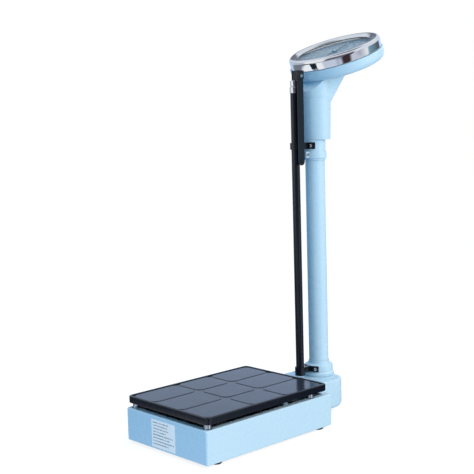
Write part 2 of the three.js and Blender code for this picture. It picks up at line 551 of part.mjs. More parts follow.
function addBalance(parent) {
  const pivot = new THREE.Vector3(0, CRANK.pivotY, CRANK.pivotZ).applyMatrix4(HEAD_MATRIX);
  const swing = THREE.MathUtils.degToRad(CRANK.swingDeg);
  const pinZ = pivot.z + CRANK.pinLift;
  const nutTop = LEVER.longZ - LEVER.thickness / 2 - 1;
  const shank = disc(2.5, nutTop - 12, pinZ + 4, SIDES.small);
  const hook = crossBar(1.6, -8.5, 1, 0, pinZ, SIDES.small);
  const rod = join(shank, hook, plate(circle(8, 0, 0, 6), nutTop - 8, nutTop));
  piece(parent, "pull_rod", rod, STEEL).position.y = COLUMN.y;

  const { drawZ, drawHalf, hangerZ, hanger, springX } = BALANCE;
  const rodHole = (radius) => [circle(radius, 0, 0, SIDES.small)];
  const drawOutline = roundedOutline(-27, -6, 27, 6, 5, 3);
  const drawBar = plate(drawOutline, drawZ - drawHalf, drawZ + drawHalf, rodHole(2.8));
  piece(parent, "draw_bar", drawBar, STEEL).position.y = COLUMN.y;
  const hangerBar = plate(roundedOutline(-31, -7, 31, 7, 6, 3), hangerZ, hangerZ + hanger, rodHole(4.5));
  piece(parent, "spring_hanger", hangerBar, STEEL).position.y = COLUMN.y;
  for (const [side, sign] of Object.entries(SIDE_SIGNS)) {
    const spring = piece(parent, `main_spring_${side}`, coil(drawZ + drawHalf + GAP, hangerZ - GAP), STEEL);
    spring.position.set(sign * springX, COLUMN.y, 0);
  }
  piece(parent, "crank_pivot_pin", crossBar(3, -12, 12, pivot.y, pivot.z), STEEL);
  addBellCrank(parent, pivot, swing);
}

// A round wire along a helix.
class Helix extends THREE.Curve {
  constructor(radius, z0, z1, turns) {
    super();
    Object.assign(this, { radius, z0, z1, turns });
  }

  getPoint(t, target = new THREE.Vector3()) {
    const angle = 2 * Math.PI * this.turns * t;
    const height = this.z0 + (this.z1 - this.z0) * t;
    return target.set(this.radius * Math.cos(angle), this.radius * Math.sin(angle), height);
  }
}

function coil(z0, z1) {
  const { springRadius, wire, turns } = BALANCE;
  const path = new Helix(springRadius, z0 + wire, z1 - wire, turns);
  const section = new THREE.Shape(circle(wire, 0, 0, 5).map(([x, y]) => new THREE.Vector2(x, y)));
  return new THREE.ExtrudeGeometry(section, { steps: turns * 8, bevelEnabled: false, extrudePath: path });
}

// Drawn in (y, z) about the pivot: one arm reaches the pull rod's pin, the other reaches the rack's pin.
function addBellCrank(parent, pivot, swing) {
  const lean = TILT - swing;
  const arms = [[-Math.cos(swing), Math.sin(swing), CRANK.arm, CRANK.armEnd],
    [-Math.sin(lean), Math.cos(lean), CRANK.rise, CRANK.riseEnd]];
  // Straight strip along an arm, from one distance to another, with the given half width.
  const strip = ([uy, uz], from, to, half) => [[from, -half], [to, -half], [to, half], [from, half]]
    .map(([along, across]) => [along * uy - across * uz, along * uz + across * uy]);
  const { x0, x1, half, slot } = CRANK;
  const bars = arms.map((arm) => upright(strip(arm, 0, arm[3], half), x0, x1));
  const slots = arms.map((arm) =>
    upright(strip(arm, arm[2] - CRANK.slotReach, arm[3] - CRANK.tip, slot), x0 - 1, x1 + 1));
  const crank = cut(join(crossBar(6.5, x0, x1, 0, 0, 20), ...bars), ...slots, crossBar(3.3, x0 - 1, x1 + 1));
  piece(parent, "bell_crank", crank, BRASS).position.copy(pivot);
}

// ---------------------------------------------------------------- height rod
const STRAP = 2.4;
const BRACKET = {
  lower: { z0: 97.6, z1: 112.2, ringZ0: 94.6, ringZ1: 115, radius: 34.6, screwDeg: 28, endDeg: 41 },
  upper: { z0: 650.5, z1: 666.5, ringZ0: 650.5, ringZ1: 666.5, radius: 26.6, screwDeg: 22.5, endDeg: 44 },
};
const HINGE = { x0: -4, x1: 22, cheek: 2.2, y0: 421, y1: 441, wallY: 5, top: 838.5 };

function addHeightRod(parent) {
  for (const [name, bracket] of Object.entries(BRACKET)) addBracket(parent, name, bracket);
  const { y, outer, middle, inner, wall, bottom, top } = ROD;
  const rodPiece = (name, geometry, material) => {
    piece(parent, name, geometry, material).position.y = y;
  };
  rodPiece("rod_outer_tube", turned([[0, bottom], [outer, bottom], [outer, top], [outer - wall, top],
    [outer - wall, bottom + 2], [0, bottom + 2]], 24), BLACK);
  const ferruleBand = (bore, radius, low, height) => turned([[bore, low], [radius, low],
    [radius, low + height - 1], [radius - 1, low + height], [bore, low + height], [bore, low]], 24);
  const middleTop = top + 15.4;
  rodPiece("outer_ferrule", ferruleBand(middle + 0.4, 11.2, top + GAP, 14.7), CHROME);
  rodPiece("rod_middle_tube", ring(middle - wall, middle, bottom + 10, middleTop, 24), BLACK);
  rodPiece("middle_ferrule", ferruleBand(inner + 0.4, 9.8, middleTop + GAP, 14.3), CHROME);
  const innerTop = middleTop + 14.9;
  rodPiece("rod_inner_tube", ring(inner - wall, inner, bottom + 16, innerTop, 24), BLACK);
  addHingeBlock(parent, innerTop + GAP);
  addArm(parent);
}

// Saddle screwed round the column, a web, and a ring that holds the height rod.
function addBracket(parent, name, { z0, z1, ringZ0, ringZ1, radius, screwDeg, endDeg }) {
  const inner = radius + GAP;
  const saddle = plate([...arc(0, COLUMN.y, inner, -90 - endDeg, -90 + endDeg, 12),
    ...arc(0, COLUMN.y, inner + STRAP, -90 + endDeg, -90 - endDeg, 12)], z0, z1);
  const rodRing = ring(ROD.outer + GAP, ROD.outer + 3.2, ringZ0, ringZ1, 28).translate(0, ROD.y, 0);
  const web = box(-4, ROD.y + ROD.outer + 1, z0, 4, COLUMN.y - inner - 0.5, z1);
  const middle = (z0 + z1) / 2;
  const onSaddle = (geometry, sign) => geometry.rotateX(Math.PI / 2)
    .rotateZ(sign * THREE.MathUtils.degToRad(screwDeg)).translate(0, COLUMN.y, middle);
  const holes = Object.values(SIDE_SIGNS).map((sign) =>
    onSaddle(disc(2.6, inner - 3, inner + 6, SIDES.small), sign));
  piece(parent, `${name}_rod_bracket`, cut(join(saddle, web, rodRing), ...holes), BLACK);
  const face = inner + STRAP;
  for (const [side, sign] of Object.entries(SIDE_SIGNS)) {
    const dome = turned([[0, face + GAP], [4, face + GAP], [3.4, face + 1.8], [0, face + 2.6]], SIDES.bar);
    const screw = join(disc(2.2, inner + 0.1, face + 0.4, SIDES.small), dome);
    piece(parent, `${name}_bracket_screw_${side}`, onSaddle(screw, sign), CHROME);
  }
}

// Fork on top of the inner tube: the arm hangs between the body and the outer cheek, open toward -Y.
function addHingeBlock(parent, low) {
  const { x0, x1, cheek, y0, y1, wallY, top } = HINGE;
  const slotX = ARM.x - 0.4;
  const bodyLevels = [[low, 0.5], [low + 1, 0], [top - 1, 0], [top, 1]];
  const body = levelledBox(x0, ROD.y - wallY, slotX, y1 - 1, 1.5, bodyLevels, 2);
  const outer = box(x1 - cheek, y0, low + 2, x1, y1 - 1, top - 0.6);
  const roof = box(slotX - 3, y0, top - 2.6, x1, y1 - 1, top - 0.6);
  const pinHole = crossBar(2.4, -20, 40, ARM.y, ARM.pivotZ);
  piece(parent, "arm_hinge_block", cut(join(body, outer, roof), pinHole), BLACK);
  const pin = join(crossBar(2.1, x0 + 1, x1 + 1), crossBar(4, x1 + GAP, x1 + 2));
  piece(parent, "arm_pivot_screw", pin, CHROME).position.set(0, ARM.y, ARM.pivotZ);
}

function addArm(parent) {
  const half = ARM.width / 2;
  const outline = [...arc(ARM.y, ARM.pivotZ, half, 0, 180, 10),
    ...arc(ARM.y, ARM.bottomZ + half, half, 180, 360, 10)];
  const bar = upright(outline, ARM.x, ARM.x + ARM.thickness, [circle(2.5, ARM.y, ARM.pivotZ)]);
  const face = ARM.x + ARM.thickness;
  const rivet = crossBar(4, face - 0.4, face + 1.4, ARM.y, ARM.rivetZ);
  piece(parent, "measuring_arm", join(bar, rivet), BLACK);
}

// ---------------------------------------------------------------- assembly
const scale = new THREE.Group();
scale.position.y = -ORIGIN_Y;
addBase(scale);
addPlatform(scale);
addLevers(scale);
addColumn(scale);
addNeck(scale);
addHeadHousing(scale);
addDial(scale);
addBalance(scale);
addHeightRod(scale);

const assembly = new THREE.Group();
assembly.add(scale);
export default assembly;
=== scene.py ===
"""Mechanical dial height-and-weight scale.

Materials, printed details, camera and studio around the CAD frame.
"""
import json
import math
import random

import bmesh
import bpy
from mathutils import Matrix, Vector


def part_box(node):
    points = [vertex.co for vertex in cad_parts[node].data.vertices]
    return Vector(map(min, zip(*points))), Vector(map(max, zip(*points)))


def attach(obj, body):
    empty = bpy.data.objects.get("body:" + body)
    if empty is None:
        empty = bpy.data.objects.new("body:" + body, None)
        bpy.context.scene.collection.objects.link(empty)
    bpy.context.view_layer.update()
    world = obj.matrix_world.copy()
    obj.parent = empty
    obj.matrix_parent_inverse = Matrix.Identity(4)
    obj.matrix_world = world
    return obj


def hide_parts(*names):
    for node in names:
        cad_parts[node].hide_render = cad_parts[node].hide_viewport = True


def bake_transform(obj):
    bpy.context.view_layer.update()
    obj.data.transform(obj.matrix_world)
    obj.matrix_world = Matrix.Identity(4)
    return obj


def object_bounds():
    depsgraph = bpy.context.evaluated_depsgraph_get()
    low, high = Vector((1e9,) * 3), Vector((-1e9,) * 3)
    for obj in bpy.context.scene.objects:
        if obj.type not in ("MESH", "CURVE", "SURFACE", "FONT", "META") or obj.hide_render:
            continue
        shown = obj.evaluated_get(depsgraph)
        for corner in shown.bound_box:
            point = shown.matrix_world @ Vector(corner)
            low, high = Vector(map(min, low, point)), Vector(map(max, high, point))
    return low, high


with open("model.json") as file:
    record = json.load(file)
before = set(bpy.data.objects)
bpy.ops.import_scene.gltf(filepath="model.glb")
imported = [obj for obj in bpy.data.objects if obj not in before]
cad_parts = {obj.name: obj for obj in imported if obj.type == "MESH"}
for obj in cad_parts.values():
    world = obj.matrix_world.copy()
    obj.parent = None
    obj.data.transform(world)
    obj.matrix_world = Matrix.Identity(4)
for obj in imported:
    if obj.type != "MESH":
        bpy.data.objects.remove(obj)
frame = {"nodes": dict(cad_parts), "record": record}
CAD_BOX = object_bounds()
NODES = frame["nodes"]
JOINTS = {joint["name"]: joint for joint in frame["record"]["behaviour"]["joints"]}


# ---------------------------------------------------------------- node trees
NOISE_SPREAD = (0.3, 0.7)   # where most of a noise texture's values lie


def map_range(tree, value, source, target=(0, 1)):
    """The value, clamped and spread from the source's two ends to the target's."""
    made = tree.nodes.new("ShaderNodeMapRange")
    made.inputs["From Min"].default_value = source[0]
    made.inputs["From Max"].default_value = source[1]
    made.inputs["To Min"].default_value = target[0]
    made.inputs["To Max"].default_value = target[1]
    tree.links.new(value, made.inputs["Value"])
    return made.outputs["Result"]


def colour_ramp(tree, factor, stops):
    """A ramp whose stops each hold a position from 0 to 1 and a colour."""
    made = tree.nodes.new("ShaderNodeValToRGB")
    elements = made.color_ramp.elements
    while len(elements) < len(stops):
        elements.new(0.5)
    for element, (position, colour) in zip(elements, stops):
        element.position = position
        element.color = (*colour, 1)
    tree.links.new(factor, made.inputs["Fac"])
    return made.outputs["Color"]


class Tree:
    """A small builder for one material's node tree."""

    def __init__(self, name):
        self.material = bpy.data.materials.new(name)
        self.material.use_nodes = True
        self.tree = self.material.node_tree
        self.shader = next(n for n in self.tree.nodes if n.type == "BSDF_PRINCIPLED")

    def node(self, kind, **values):
        made = self.tree.nodes.new(kind)
        for key, value in values.items():
            made.inputs[key].default_value = value
        return made

    def link(self, output, target):
        self.tree.links.new(output, target)

    def set(self, **values):
        """Scalar and colour values straight on the shader's own sockets; underscores stand for spaces."""
        for key, value in values.items():
            self.shader.inputs[key.replace("_", " ")].default_value = value

    def coordinates(self, scale):
        source = self.node("ShaderNodeTexCoord")
        mapping = self.node("ShaderNodeMapping")
        mapping.inputs["Scale"].default_value = scale
        self.link(source.outputs["Object"], mapping.inputs["Vector"])
        return mapping.outputs["Vector"]

    def noise(self, scale, detail, stretch=(1, 1, 1)):
        made = self.node("ShaderNodeTexNoise", Scale=scale, Detail=detail)
        self.link(self.coordinates(stretch), made.inputs["Vector"])
        return made.outputs["Fac"]

    def bump(self, factor, distance, strength):
        made = self.node("ShaderNodeBump", Strength=strength, Distance=distance)
        self.link(factor, made.inputs["Height"])
        self.link(made.outputs["Normal"], self.shader.inputs["Normal"])

    def colour_between(self, factor, dark, light):
        stops = list(zip(NOISE_SPREAD, (dark, light)))
        self.link(colour_ramp(self.tree, factor, stops), self.shader.inputs["Base Color"])

    def roughness_between(self, factor, low, high):
        self.link(map_range(self.tree, factor, NOISE_SPREAD, (low, high)), self.shader.inputs["Roughness"])


def enamel(name, dark, light, coat, roughness):
    """Stoved enamel on sheet steel: fine orange peel, faint mottling, thin gloss coat."""
    tree = Tree(name)
    tree.colour_between(tree.noise(9, detail=4), dark, light)
    tree.roughness_between(tree.noise(60, detail=3), *roughness)
    tree.bump(tree.noise(600, detail=2), distance=0.00004, strength=0.15)
    tree.set(Coat_Weight=coat, Coat_Roughness=0.08, IOR=1.5)
    return tree.material


def plated(name, dark, light, roughness, scratch):
    """Plated metal with faint wipe marks."""
    tree = Tree(name)
    tree.set(Metallic=1.0)
    tree.colour_between(tree.noise(25, detail=3), dark, light)
    tree.roughness_between(tree.noise(70, detail=4, stretch=(1, 1, 6)), *roughness)
    tree.bump(tree.noise(900, detail=2, stretch=(1, 1, 8)), distance=0.00001, strength=scratch)
    return tree.material


def moulded(name, dark, light, roughness, grain, height, specular=0.5):
    """Rubber, plastic or paper with a fine grain."""
    tree = Tree(name)
    tree.colour_between(tree.noise(40, detail=4), dark, light)
    tree.roughness_between(tree.noise(90, detail=3), *roughness)
    tree.bump(tree.noise(grain, detail=3), height, strength=0.5)
    tree.set(Specular_IOR_Level=specular)
    return tree.material


def cast_iron():
    tree = Tree("cast_iron")
    tree.colour_between(tree.noise(30, detail=6), (0.045, 0.05, 0.055), (0.09, 0.095, 0.1))
    tree.roughness_between(tree.noise(80, detail=4), 0.55, 0.8)
    tree.bump(tree.noise(700, detail=5), distance=0.0004, strength=0.7)
    tree.set(Metallic=0.3)
    return tree.material


def clear_glass():
    tree = Tree("clear_glass")
    tree.set(Base_Color=(0.96, 0.985, 1.0, 1), Transmission_Weight=1.0, Roughness=0.01, IOR=1.46)
    tree.bump(tree.noise(14, detail=2), distance=0.0003, strength=0.06)
    return tree.material


MATERIALS = {
    "blue": enamel("blue_enamel", (0.461, 0.655, 0.783), (0.469, 0.661, 0.788), 0.2, (0.25, 0.30)),
    "black": enamel("black_enamel", (0.003, 0.005, 0.010), (0.006, 0.009, 0.016), 0.1, (0.18, 0.24)),
    "mat": moulded("mat_vinyl", (0.022, 0.028, 0.044), (0.032, 0.040, 0.058), (0.10, 0.16), 1500, 0.00003),
    "plastic": moulded("knob_plastic", (0.012, 0.012, 0.013), (0.022, 0.022, 0.024), (0.35, 0.5),
                       1200, 0.0001),
    "chrome": plated("chrome", (0.80, 0.83, 0.87), (0.88, 0.91, 0.95), (0.04, 0.09), 0.25),
    "steel": plated("zinc_steel", (0.42, 0.43, 0.44), (0.56, 0.57, 0.58), (0.28, 0.45), 0.6),
    "brass": plated("brass", (0.62, 0.43, 0.16), (0.76, 0.56, 0.24), (0.2, 0.34), 0.5),
    "cast": cast_iron(),
    "rubber": moulded("rubber", (0.008, 0.008, 0.008), (0.018, 0.018, 0.019), (0.6, 0.8),
                      900, 0.00015, 0.3),
    # The dial face's grey is partly its own pale paint and partly painted shade: it is darkened to stand
    # in for the shade that the bezel and glass cast on it.
    "dial": moulded("dial_face_with_painted_shade", (0.44, 0.45, 0.47), (0.47, 0.48, 0.50), (0.35, 0.5), 1500, 0.000002),
    "hand": moulded("hand_paint", (0.01, 0.01, 0.012), (0.02, 0.02, 0.024), (0.3, 0.4), 1500, 0.00002),
    "ink": moulded("ink", (0.02, 0.025, 0.04), (0.04, 0.045, 0.06), (0.5, 0.6), 1500, 0.00001),
    "white_ink": moulded("white_ink", (0.78, 0.80, 0.80), (0.86, 0.88, 0.88), (0.5, 0.6), 1500, 0.00001),
    "paper": moulded("label_paper", (0.90, 0.88, 0.87), (0.94, 0.92, 0.90), (0.4, 0.55), 1400, 0.00003),
    "glass": clear_glass(),
}
SLOT_MATERIAL = {
    "blue_paint": "blue", "black_paint": "black", "black_mat": "mat", "black_plastic": "plastic",
    "chrome": "chrome", "steel": "steel", "cast": "cast", "brass": "brass", "rubber": "rubber",
    "dial_face": "dial", "pointer_paint": "hand", "glass": "glass", "label": "paper",
}


# ---------------------------------------------------------------- CAD nodes
def smooth_by_angle(degrees):
    """A geometry-nodes group: smooth faces, and edges steeper than the angle stay sharp."""
    group = bpy.data.node_groups.new(f"smooth_{degrees}", "GeometryNodeTree")
    group.interface.new_socket("Geometry", in_out="INPUT", socket_type="NodeSocketGeometry")
    group.interface.new_socket("Geometry", in_out="OUTPUT", socket_type="NodeSocketGeometry")
    nodes, links = group.nodes, group.links
    source, target = nodes.new("NodeGroupInput"), nodes.new("NodeGroupOutput")
    faces = nodes.new("GeometryNodeSetShadeSmooth")
    edges = nodes.new("GeometryNodeSetShadeSmooth")
    edges.domain = "EDGE"
    edges.inputs["Shade Smooth"].default_value = False
    angle = nodes.new("GeometryNodeInputMeshEdgeAngle")
    steep = nodes.new("FunctionNodeCompare")
    steep.data_type = "FLOAT"
    steep.operation = "GREATER_THAN"
    steep.inputs["B"].default_value = math.radians(degrees)
    links.new(angle.outputs["Unsigned Angle"], steep.inputs["A"])
    links.new(source.outputs[0], faces.inputs["Geometry"])
    links.new(faces.outputs[0], edges.inputs["Geometry"])
    links.new(steep.outputs["Result"], edges.inputs["Selection"])
    links.new(edges.outputs[0], target.inputs[0])
    return group


SMOOTH = smooth_by_angle(32)
WELD_DISTANCE = 2e-6
BEVEL_ANGLE = math.radians(35)
NORMAL_WEIGHT = 80


def soften(obj, bevel):
    """Weld the split corners, round the hard edges a little and shade the curved faces smoothly."""
    weld = obj.modifiers.new("weld", "WELD")
    weld.merge_threshold = WELD_DISTANCE
    if bevel:
        rounding = obj.modifiers.new("edges", "BEVEL")
        rounding.width = bevel
        rounding.segments = 2
        rounding.limit_method = "ANGLE"
        rounding.angle_limit = BEVEL_ANGLE
        rounding.miter_outer = "MITER_ARC"
    obj.modifiers.new("smooth", "NODES").node_group = SMOOTH
    normals = obj.modifiers.new("normals", "WEIGHTED_NORMAL")
    normals.keep_sharp = True
    normals.weight = NORMAL_WEIGHT


# Widths of the rounded edges, in metres.
SMALL_BEVEL = 0.0002
BEVELS = {
    "base_housing": 0.0012, "platform_cover": 0.0008, "platform_mat": 0.0003, "column_seat": 0.0014,
    "column_flange": 0.0006, "column_collar": 0.0006, "neck_sleeve": 0.0006, "head_housing": 0.0006,
    "dial_bezel": 0.0005, "lower_rod_bracket": 0.0004, "upper_rod_bracket": 0.0004,
    "arm_hinge_block": 0.0005, "measuring_arm": 0.0004, "outer_ferrule": 0.0005,
    "middle_ferrule": 0.0005, "rod_outer_tube": 0.0004, "rating_label": 0.0, "zero_knob": 0.0004,
    "column_tube": 0.0003,
}


def dress_nodes():
    slots = {part["node"]: part["material_slot"] for part in frame["record"]["subparts"]}
    for name, node in NODES.items():
        node.data.materials.clear()
        node.data.materials.append(MATERIALS[SLOT_MATERIAL[slots[name]]])
        soften(node, BEVELS.get(name, SMALL_BEVEL))


dress_nodes()
# The glass lets the studio light through to the dial under it.
NODES["dial_glass"].visible_shadow = False


# ---------------------------------------------------------------- detail pieces
PRINT = 0.00005             # thickness of printed marks
RING_SIDES = 160
MILLIMETRE = 0.001
FIGURE_HEIGHT = 0.7         # a figure's height as a share of the font's size
RIGHT = Vector((1, 0, 0))
UP = Vector((0, 0, 1))
FRONT = Vector((0, -1, 0))


def placed(name, data):
    """A new object in the scene."""
    made = bpy.data.objects.new(name, data)
    bpy.context.scene.collection.objects.link(made)
    return made


def circle_point(radius, angle, z=0.0):
    return Vector((radius * math.cos(angle), radius * math.sin(angle), z))


def add_piece(name, mesh, material, body):
    made = placed(name, mesh)
    mesh.materials.clear()
    mesh.materials.append(MATERIALS[material])
    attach(made, body)
    return made


def finished(shape, name):
    mesh = bpy.data.meshes.new(name)
    bmesh.ops.recalc_face_normals(shape, faces=shape.faces)
    shape.to_mesh(mesh)
    shape.free()
    return mesh


def add_bar(shape, matrix, size):
    """A flat printed bar or a small block, centred on the matrix's place."""
    scale = Matrix.Diagonal((*size, 1))
    bmesh.ops.create_cube(shape, size=1, matrix=matrix @ scale)


def add_ring(shape, matrix, inner, outer):
    """A flat printed ring, lying in the matrix's XY plane."""
    half = PRINT / 2
    corners = [(inner, -half), (outer, -half), (outer, half), (inner, half)]
    rows = []
    for i in range(RING_SIDES):
        angle = math.tau * i / RING_SIDES
        rows.append([shape.verts.new(matrix @ circle_point(r, angle, z)) for r, z in corners])
    for i, row in enumerate(rows):
        following = rows[(i + 1) % RING_SIDES]
        for j in range(len(corners)):
            k = (j + 1) % len(corners)
            shape.faces.new((row[j], row[k], following[k], following[j]))


def add_number(shape, text, matrix, height):
    """A number as thin raised print, centred on the matrix's place and read along its X."""
    curve = bpy.data.curves.new("number", "FONT")
    curve.body = text
    curve.size = height / FIGURE_HEIGHT
    curve.align_x = "CENTER"
    curve.align_y = "CENTER"
    curve.resolution_u = 3
    curve.extrude = PRINT / 2
    holder = placed("number", curve)
    drawn = holder.evaluated_get(bpy.context.evaluated_depsgraph_get())
    mesh = bpy.data.meshes.new_from_object(drawn)
    mesh.transform(matrix)
    shape.from_mesh(mesh)
    bpy.data.objects.remove(holder)
    bpy.data.curves.remove(curve)
    bpy.data.meshes.remove(mesh)


def frame_at(place, across, outward):
    """A matrix with X along `across` and Z along `outward`."""
    z = outward.normalized()
    x = (across - across.dot(z) * z).normalized()
    turn = Matrix((x, z.cross(x), z)).transposed().to_4x4()
    return Matrix.Translation(place) @ turn


# The dial: its middle and the way it faces come from the pointer's joint.
DIAL_MIDDLE = Vector(JOINTS["pointer_turn"]["pos_m"])
DIAL_FACING = -Vector(JOINTS["pointer_turn"]["axis"]).normalized()
DIAL_KILOGRAMS = 160
# Ticks, widest first: every so many kilograms, their length and width in millimetres.
DIAL_TICKS = ((10, 8, 0.8), (5, 6, 0.6), (1, 4, 0.35))
DIAL_RINGS = (0.42, 0.24)   # radii as shares of the print's radius
LIP_GAP = 3 * MILLIMETRE    # between the print and the bezel's lip
EDGE_LINE = 0.4 * MILLIMETRE
RING_LINE = 0.5 * MILLIMETRE
NUMBER_INSET, NUMBER_HEIGHT = 14 * MILLIMETRE, 6.5 * MILLIMETRE
UNIT_RADIUS, UNIT_HEIGHT = 30 * MILLIMETRE, 7 * MILLIMETRE


def top_level(name):
    """A dial part's highest level along the dial's axis."""
    return max((v.co - DIAL_MIDDLE).dot(DIAL_FACING) for v in NODES[name].data.vertices)


def inner_radius(name):
    """A dial part's smallest distance from the dial's axis."""
    places = [v.co - DIAL_MIDDLE for v in NODES[name].data.vertices]
    return min((p - p.dot(DIAL_FACING) * DIAL_FACING).length for p in places)


def dial_frame(level, kilograms=0.0, radius=0.0):
    """Upright at the given reading, which runs clockwise from the top, at a radius from the middle."""
    level_frame = frame_at(DIAL_MIDDLE + DIAL_FACING * level, RIGHT, DIAL_FACING)
    turn = Matrix.Rotation(-math.tau * kilograms / DIAL_KILOGRAMS, 4, "Z")
    return level_frame @ turn @ Matrix.Translation((0, radius, 0))


def add_dial_marks(level, edge):
    """A thin ring at the print's edge, with the ticks inside it."""
    lines = bmesh.new()
    add_ring(lines, dial_frame(level), edge - EDGE_LINE, edge)
    for kilograms in range(DIAL_KILOGRAMS):
        length, width = next(size for step, *size in DIAL_TICKS if kilograms % step == 0)
        place = dial_frame(level, kilograms, edge - length * MILLIMETRE / 2)
        add_bar(lines, place, (width * MILLIMETRE, length * MILLIMETRE, PRINT))
    add_piece("dial_marks", finished(lines, "dial_marks"), "ink", "base")


def add_dial_numbers(level, edge):
    """A number at every tenth kilogram, and the unit low on the dial."""
    numbers = bmesh.new()
    for kilograms in range(0, DIAL_KILOGRAMS, 10):
        place = dial_frame(level, kilograms, edge - NUMBER_INSET)
        add_number(numbers, str(kilograms), place, NUMBER_HEIGHT)
    half_turn = Matrix.Rotation(math.pi, 4, "Z")
    unit_place = dial_frame(level, DIAL_KILOGRAMS / 2, UNIT_RADIUS) @ half_turn
    add_number(numbers, "kg", unit_place, UNIT_HEIGHT)
    add_piece("dial_numbers", finished(numbers, "dial_numbers"), "ink", "base")


def add_dial_rings(level, edge):
    rings = bmesh.new()
    for share in DIAL_RINGS:
        add_ring(rings, dial_frame(level), edge * share - RING_LINE, edge * share)
    add_piece("dial_rings", finished(rings, "dial_rings"), "white_ink", "base")


def add_dial_print():
    """The print ends a little inside the bezel's lip."""
    level = top_level("dial_plate") + PRINT / 2
    edge = inner_radius("dial_bezel") - LIP_GAP
    add_dial_marks(level, edge)
    add_dial_numbers(level, edge)
    add_dial_rings(level, edge)


# Radii and heights of the pointer's cap in millimetres, from its foot to its top.
CAP_PROFILE = [(5.2, 0.02), (5.2, 0.5), (4.6, 1.1), (3.2, 1.5), (1.4, 1.65), (0, 1.7)]
CAP_SIDES = 32


def add_pointer_cap():
    """A turned cap over the end of the pointer's shaft."""
    cap = bmesh.new()
    place = dial_frame(top_level("pointer"))
    angles = [math.tau * i / CAP_SIDES for i in range(CAP_SIDES)]
    rows = []
    for radius, z in CAP_PROFILE[:-1]:
        ring = [circle_point(radius * MILLIMETRE, angle, z * MILLIMETRE) for angle in angles]
        rows.append([cap.verts.new(place @ point) for point in ring])
    top = cap.verts.new(place @ (UP * CAP_PROFILE[-1][1] * MILLIMETRE))
    for low, high in zip(rows, rows[1:]):
        for i in range(CAP_SIDES):
            following = (i + 1) % CAP_SIDES
            cap.faces.new((low[i], low[following], high[following], high[i]))
    for i in range(CAP_SIDES):
        cap.faces.new((rows[-1][i], rows[-1][(i + 1) % CAP_SIDES], top))
    cap.faces.new(list(reversed(rows[0])))
    made = add_piece("pointer_cap", finished(cap, "pointer_cap"), "chrome", "pointer")
    made.modifiers.new("smooth", "NODES").node_group = SMOOTH


# The label's bars. Lengths are in millimetres, and shares are of the label's width or height.
LABEL_ROWS = 8
LABEL_PRINTED = 0.88        # share of the height that the rows take up
LABEL_FIRST_ROW = 0.9       # pitches from the label's top to the first row
LABEL_MARGIN = 5
ROW_ENDS = (0.62, 0.95)     # shortest and longest row, as shares of the width
TITLE_HEIGHT, TEXT_HEIGHT = 2.6, 2.1
BAR_WIDTHS = (1.1, 2.2)
BAR_HEIGHTS = (0.75, 1.0)   # shares of the row's height
BAR_GAPS = (0.5, 0.5, 0.6, 2.0)


def add_label_print():
    """Rows of plain bars stand for the label's lines of small print."""
    low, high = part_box("rating_label")
    pitch = (high.z - low.z) * LABEL_PRINTED / LABEL_ROWS
    chance = random.Random(4)
    lines = bmesh.new()
    for row in range(LABEL_ROWS):
        z = high.z - pitch * (row + LABEL_FIRST_ROW)
        height = (TITLE_HEIGHT if row == 0 else TEXT_HEIGHT) * MILLIMETRE
        x = low.x + LABEL_MARGIN * MILLIMETRE
        end = low.x + (high.x - low.x) * chance.uniform(*ROW_ENDS)
        while x < end:
            width = chance.uniform(*BAR_WIDTHS) * MILLIMETRE
            place = frame_at(Vector((x + width / 2, low.y - PRINT / 2, z)), RIGHT, FRONT)
            add_bar(lines, place, (width, height * chance.uniform(*BAR_HEIGHTS), PRINT))
            x += width + chance.choice(BAR_GAPS) * MILLIMETRE
    add_piece("label_lines", finished(lines, "label_lines"), "ink", "base")


CROSS_TURNS = (35, 125)     # degrees
CROSS_BAR = (3.0 * MILLIMETRE, 0.6 * MILLIMETRE, PRINT)


def add_screw_crosses():
    """Thin dark crosses on the dome screws are painted shade, standing in for the shade inside their
    recesses.
    """
    column = sum(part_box("column_tube"), Vector()) / 2
    ends = ("lower", "upper")
    screws = {f"{end}_bracket_screw_{side}": "base" for end in ends for side in ("left", "right")}
    screws["arm_pivot_screw"] = "rod_inner"
    for name, body in screws.items():
        low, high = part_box(name)
        middle = (low + high) / 2
        outward = RIGHT if body == "rod_inner" else (middle - column) * Vector((1, 1, 0))
        outward = outward.normalized()
        top = max((v.co - middle).dot(outward) for v in NODES[name].data.vertices)
        place = frame_at(middle + outward * top, UP, outward)
        cross = bmesh.new()
        for turn in CROSS_TURNS:
            add_bar(cross, place @ Matrix.Rotation(math.radians(turn), 4, "Z"), CROSS_BAR)
        # The crosses use the dark ink material as painted shade for the screws' recesses.
        add_piece(f"{name}_cross", finished(cross, f"{name}_cross"), "ink", body)


# Readings on the height rod, in centimetres above the platform, at the ferrule each tube slides out of.
ARM_HALF_WIDTH = 10 * MILLIMETRE
READING_SIDE = Vector((1, -1, 0)).normalized()
READING_ACROSS = Vector((1, 1, 0))
# Ticks, widest first: every so many centimetres, and their width in millimetres.
ROD_TICKS = ((10, 4.6), (5, 3.6), (1, 2.2))
ROD_TICK_HEIGHT, ROD_TICK_DEPTH = 0.4 * MILLIMETRE, 0.3 * MILLIMETRE
OVER_TICK = Matrix.Translation((0, 3 * MILLIMETRE, 0.1 * MILLIMETRE))
ROD_NUMBER_HEIGHT = 2.2 * MILLIMETRE
# Lengths at a tube's foot and top that stay free of marks.
FREE_FOOT, FREE_TOP = 4 * MILLIMETRE, 2 * MILLIMETRE


